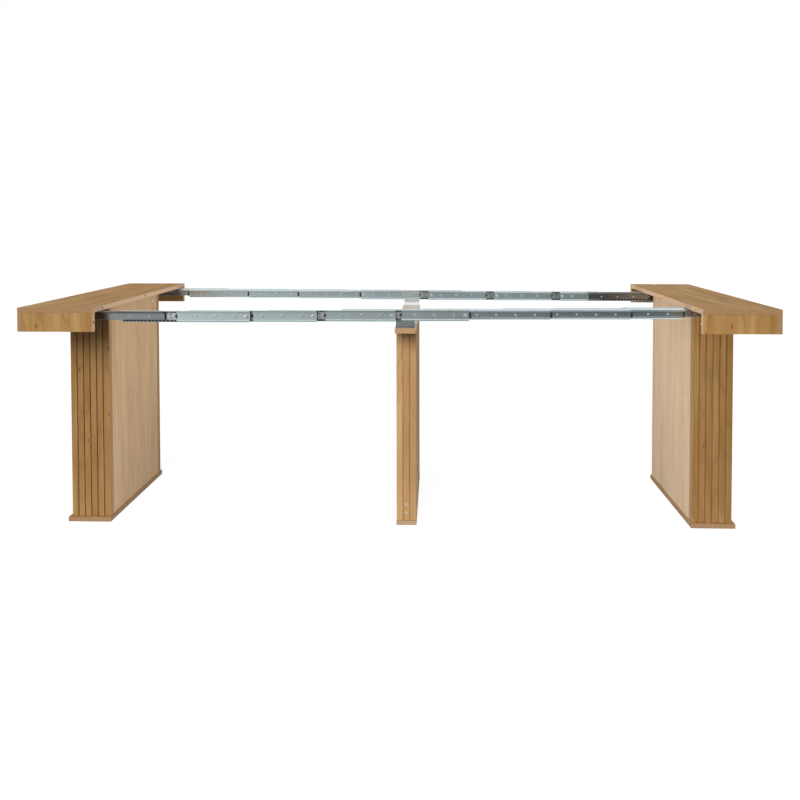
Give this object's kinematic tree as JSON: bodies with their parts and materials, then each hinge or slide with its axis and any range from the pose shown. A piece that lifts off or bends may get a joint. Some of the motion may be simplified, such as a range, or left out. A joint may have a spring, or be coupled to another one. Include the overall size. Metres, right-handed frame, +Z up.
{
  "type": "extendable console table",
  "caption": "Console table drawn out on two telescopic ball-bearing slides, with half tops on fluted slab legs and a centre leg under the slides.",
  "frame": {"origin": "on the floor, under the middle of the table's length and depth", "axes": "+X along the extension to the right, +Y from the front to the rear, +Z up"},
  "size_m": [2.448, 0.9, 0.78],
  "materials": {
    "oak": "light oak laminate, satin, with plain edge bands",
    "oak_slats": "light oak laminate over fluted board, upright grain, satin",
    "pale_board": "paler plain laminate, satin",
    "zinc": "bright zinc plate on rolled steel",
    "cage_steel": "plain steel strip and polished balls",
    "brass": "bright brass alignment pins"
  },
  "bodies": {
    "centre": {"centre_leg_front_panel": "oak_slats", "centre_leg_rear_panel": "oak_slats", "centre_leg_left_board": "oak_slats", "centre_leg_right_board": "oak_slats", "centre_leg_foot": "oak", "centre_top_plate": "pale_board", "centre_front_bracket": "zinc", "centre_rear_bracket": "zinc", "front_slide_member_5": "zinc", "rear_slide_member_5": "zinc"},
    "left_end": {"left_top_panel": "oak", "left_front_apron": "oak", "left_rear_apron": "oak", "left_end_apron": "oak", "left_leg_front_panel": "oak_slats", "left_leg_rear_panel": "oak_slats", "left_leg_outer_board": "oak_slats", "left_leg_inner_board": "pale_board", "left_leg_foot": "oak", "front_slide_member_1": "zinc", "rear_slide_member_1": "zinc"},
    "right_end": {"right_top_panel": "oak", "right_front_apron": "oak", "right_rear_apron": "oak", "right_end_apron": "oak", "right_leg_front_panel": "oak_slats", "right_leg_rear_panel": "oak_slats", "right_leg_outer_board": "oak_slats", "right_leg_inner_board": "pale_board", "right_leg_foot": "oak", "front_slide_member_9": "zinc", "rear_slide_member_9": "zinc"},
    "front_stage_2": {"front_slide_member_2": "zinc"},
    "front_stage_3": {"front_slide_member_3": "zinc"},
    "front_stage_4": {"front_slide_member_4": "zinc"},
    "front_stage_6": {"front_slide_member_6": "zinc"},
    "front_stage_7": {"front_slide_member_7": "zinc"},
    "front_stage_8": {"front_slide_member_8": "zinc"},
    "rear_stage_2": {"rear_slide_member_2": "zinc"},
    "rear_stage_3": {"rear_slide_member_3": "zinc"},
    "rear_stage_4": {"rear_slide_member_4": "zinc"},
    "rear_stage_6": {"rear_slide_member_6": "zinc"},
    "rear_stage_7": {"rear_slide_member_7": "zinc"},
    "rear_stage_8": {"rear_slide_member_8": "zinc"},
    "front_cage_1": {"front_ball_cage_1": "cage_steel"},
    "front_cage_2": {"front_ball_cage_2": "cage_steel"},
    "front_cage_3": {"front_ball_cage_3": "cage_steel"},
    "front_cage_4": {"front_ball_cage_4": "cage_steel"},
    "front_cage_5": {"front_ball_cage_5": "cage_steel"},
    "front_cage_6": {"front_ball_cage_6": "cage_steel"},
    "front_cage_7": {"front_ball_cage_7": "cage_steel"},
    "front_cage_8": {"front_ball_cage_8": "cage_steel"},
    "rear_cage_1": {"rear_ball_cage_1": "cage_steel"},
    "rear_cage_2": {"rear_ball_cage_2": "cage_steel"},
    "rear_cage_3": {"rear_ball_cage_3": "cage_steel"},
    "rear_cage_4": {"rear_ball_cage_4": "cage_steel"},
    "rear_cage_5": {"rear_ball_cage_5": "cage_steel"},
    "rear_cage_6": {"rear_ball_cage_6": "cage_steel"},
    "rear_cage_7": {"rear_ball_cage_7": "cage_steel"},
    "rear_cage_8": {"rear_ball_cage_8": "cage_steel"}
  },
  "joints": [
    {"name": "left_end_slide", "type": "slide", "parent": "centre", "child": "left_end", "axis": [1, 0, 0], "range_m": [0, 1.0065]},
    {"name": "right_end_slide", "type": "slide", "parent": "centre", "child": "right_end", "axis": [-1, 0, 0], "range_m": [0, 0.9445]},
    {"name": "front_stage_4_slide", "type": "slide", "parent": "centre", "child": "front_stage_4", "axis": [1, 0, 0], "range_m": [0, 0.244]},
    {"name": "front_stage_3_slide", "type": "slide", "parent": "front_stage_4", "child": "front_stage_3", "axis": [1, 0, 0], "range_m": [0, 0.262]},
    {"name": "front_stage_2_slide", "type": "slide", "parent": "front_stage_3", "child": "front_stage_2", "axis": [1, 0, 0], "range_m": [0, 0.22]},
    {"name": "front_stage_6_slide", "type": "slide", "parent": "centre", "child": "front_stage_6", "axis": [-1, 0, 0], "range_m": [0, 0.272]},
    {"name": "front_stage_7_slide", "type": "slide", "parent": "front_stage_6", "child": "front_stage_7", "axis": [-1, 0, 0], "range_m": [0, 0.271]},
    {"name": "front_stage_8_slide", "type": "slide", "parent": "front_stage_7", "child": "front_stage_8", "axis": [-1, 0, 0], "range_m": [0, 0.178]},
    {"name": "rear_stage_4_slide", "type": "slide", "parent": "centre", "child": "rear_stage_4", "axis": [1, 0, 0], "range_m": [0, 0.266]},
    {"name": "rear_stage_3_slide", "type": "slide", "parent": "rear_stage_4", "child": "rear_stage_3", "axis": [1, 0, 0], "range_m": [0, 0.218]},
    {"name": "rear_stage_2_slide", "type": "slide", "parent": "rear_stage_3", "child": "rear_stage_2", "axis": [1, 0, 0], "range_m": [0, 0.264]},
    {"name": "rear_stage_6_slide", "type": "slide", "parent": "centre", "child": "rear_stage_6", "axis": [-1, 0, 0], "range_m": [0, 0.284]},
    {"name": "rear_stage_7_slide", "type": "slide", "parent": "rear_stage_6", "child": "rear_stage_7", "axis": [-1, 0, 0], "range_m": [0, 0.272]},
    {"name": "rear_stage_8_slide", "type": "slide", "parent": "rear_stage_7", "child": "rear_stage_8", "axis": [-1, 0, 0], "range_m": [0, 0.27]},
    {"name": "front_cage_1_slide", "type": "slide", "parent": "front_stage_2", "child": "front_cage_1", "axis": [1, 0, 0], "range_m": [0, 0.1405]},
    {"name": "front_cage_2_slide", "type": "slide", "parent": "front_stage_3", "child": "front_cage_2", "axis": [1, 0, 0], "range_m": [0, 0.11]},
    {"name": "front_cage_3_slide", "type": "slide", "parent": "front_stage_4", "child": "front_cage_3", "axis": [1, 0, 0], "range_m": [0, 0.131]},
    {"name": "front_cage_4_slide", "type": "slide", "parent": "centre", "child": "front_cage_4", "axis": [1, 0, 0], "range_m": [0, 0.122]},
    {"name": "front_cage_5_slide", "type": "slide", "parent": "centre", "child": "front_cage_5", "axis": [-1, 0, 0], "range_m": [0, 0.136]},
    {"name": "front_cage_6_slide", "type": "slide", "parent": "front_stage_6", "child": "front_cage_6", "axis": [-1, 0, 0], "range_m": [0, 0.1355]},
    {"name": "front_cage_7_slide", "type": "slide", "parent": "front_stage_7", "child": "front_cage_7", "axis": [-1, 0, 0], "range_m": [0, 0.089]},
    {"name": "front_cage_8_slide", "type": "slide", "parent": "front_stage_8", "child": "front_cage_8", "axis": [-1, 0, 0], "range_m": [0, 0.112]},
    {"name": "rear_cage_1_slide", "type": "slide", "parent": "rear_stage_2", "child": "rear_cage_1", "axis": [1, 0, 0], "range_m": [0, 0.1295]},
    {"name": "rear_cage_2_slide", "type": "slide", "parent": "rear_stage_3", "child": "rear_cage_2", "axis": [1, 0, 0], "range_m": [0, 0.132]},
    {"name": "rear_cage_3_slide", "type": "slide", "parent": "rear_stage_4", "child": "rear_cage_3", "axis": [1, 0, 0], "range_m": [0, 0.109]},
    {"name": "rear_cage_4_slide", "type": "slide", "parent": "centre", "child": "rear_cage_4", "axis": [1, 0, 0], "range_m": [0, 0.133]},
    {"name": "rear_cage_5_slide", "type": "slide", "parent": "centre", "child": "rear_cage_5", "axis": [-1, 0, 0], "range_m": [0, 0.142]},
    {"name": "rear_cage_6_slide", "type": "slide", "parent": "rear_stage_6", "child": "rear_cage_6", "axis": [-1, 0, 0], "range_m": [0, 0.136]},
    {"name": "rear_cage_7_slide", "type": "slide", "parent": "rear_stage_7", "child": "rear_cage_7", "axis": [-1, 0, 0], "range_m": [0, 0.135]},
    {"name": "rear_cage_8_slide", "type": "slide", "parent": "rear_stage_8", "child": "rear_cage_8", "axis": [-1, 0, 0], "range_m": [0, 0.0595]}
  ],
  "couplings": [
    {"joint": "front_stage_4_slide", "follows": "left_end_slide", "ratio": 0.2423},
    {"joint": "front_stage_3_slide", "follows": "left_end_slide", "ratio": 0.26018},
    {"joint": "front_stage_2_slide", "follows": "left_end_slide", "ratio": 0.21847},
    {"joint": "rear_stage_4_slide", "follows": "left_end_slide", "ratio": 0.26415},
    {"joint": "rear_stage_3_slide", "follows": "left_end_slide", "ratio": 0.21649},
    {"joint": "rear_stage_2_slide", "follows": "left_end_slide", "ratio": 0.26216},
    {"joint": "front_stage_6_slide", "follows": "right_end_slide", "ratio": 0.28783},
    {"joint": "front_stage_7_slide", "follows": "right_end_slide", "ratio": 0.28677},
    {"joint": "front_stage_8_slide", "follows": "right_end_slide", "ratio": 0.18836},
    {"joint": "rear_stage_6_slide", "follows": "right_end_slide", "ratio": 0.30053},
    {"joint": "rear_stage_7_slide", "follows": "right_end_slide", "ratio": 0.28783},
    {"joint": "rear_stage_8_slide", "follows": "right_end_slide", "ratio": 0.28571},
    {"joint": "front_cage_1_slide", "follows": "left_end_slide", "ratio": 0.13952},
    {"joint": "front_cage_2_slide", "follows": "left_end_slide", "ratio": 0.10923},
    {"joint": "front_cage_3_slide", "follows": "left_end_slide", "ratio": 0.13009},
    {"joint": "front_cage_4_slide", "follows": "left_end_slide", "ratio": 0.12115},
    {"joint": "rear_cage_1_slide", "follows": "left_end_slide", "ratio": 0.1286},
    {"joint": "rear_cage_2_slide", "follows": "left_end_slide", "ratio": 0.13108},
    {"joint": "rear_cage_3_slide", "follows": "left_end_slide", "ratio": 0.10824},
    {"joint": "rear_cage_4_slide", "follows": "left_end_slide", "ratio": 0.13207},
    {"joint": "front_cage_5_slide", "follows": "right_end_slide", "ratio": 0.14391},
    {"joint": "front_cage_6_slide", "follows": "right_end_slide", "ratio": 0.14339},
    {"joint": "front_cage_7_slide", "follows": "right_end_slide", "ratio": 0.09418},
    {"joint": "front_cage_8_slide", "follows": "right_end_slide", "ratio": 0.11852},
    {"joint": "rear_cage_5_slide", "follows": "right_end_slide", "ratio": 0.15027},
    {"joint": "rear_cage_6_slide", "follows": "right_end_slide", "ratio": 0.14391},
    {"joint": "rear_cage_7_slide", "follows": "right_end_slide", "ratio": 0.14286},
    {"joint": "rear_cage_8_slide", "follows": "right_end_slide", "ratio": 0.062963}
  ]
}
